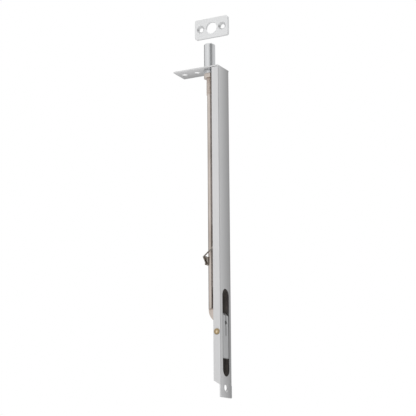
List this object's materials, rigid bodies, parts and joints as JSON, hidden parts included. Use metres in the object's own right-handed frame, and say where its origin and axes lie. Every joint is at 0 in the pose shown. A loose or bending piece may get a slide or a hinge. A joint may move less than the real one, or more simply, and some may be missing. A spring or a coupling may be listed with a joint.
{
  "type": "flush bolt",
  "caption": "Lever-action flush bolt for the edge of a door: a flip lever in a folded case throws a round bolt through the top plate; a strike plate stands above it.",
  "frame": {"origin": "on the bolt's axis, at the outer face of the top plate", "axes": "+Z is the way the bolt is thrown, -Y is the way the face plate looks, X runs across the face plate"},
  "size_m": [0.0208, 0.0502, 0.3379],
  "materials": {
    "satin_steel": "satin nickel plated sheet",
    "bolt_steel": "turned and polished steel",
    "yellow_zinc": "yellow passivated zinc plate",
    "satin_lever": "satin plated casting",
    "brass": "turned brass",
    "black_nylon": "moulded black nylon",
    "spring_steel": "tempered spring steel strip"
  },
  "bodies": {
    "case": {"case": "satin_steel", "pivot_rivet_left": "brass", "pivot_rivet_right": "brass", "lever_housing": "black_nylon", "spring_clip": "spring_steel", "strike_plate": "satin_steel"},
    "bolt": {"bolt": "bolt_steel", "lock_nut": "yellow_zinc", "rod": "yellow_zinc"},
    "lever": {"lever": "satin_lever", "crank_pin": "bolt_steel"}
  },
  "joints": [
    {"name": "lever_flip", "type": "hinge", "parent": "case", "child": "lever", "pos_m": [0, -0.0102, -0.2352], "axis": [-1, 0, 0], "range_deg": [0, 180]},
    {"name": "bolt_slide", "type": "slide", "parent": "case", "child": "bolt", "axis": [0, 0, 1], "range_m": [-0.022, 0]}
  ],
  "couplings": [
    {"joint": "lever_flip", "follows": "bolt_slide", "rad_per_m": -142.8}
  ]
}
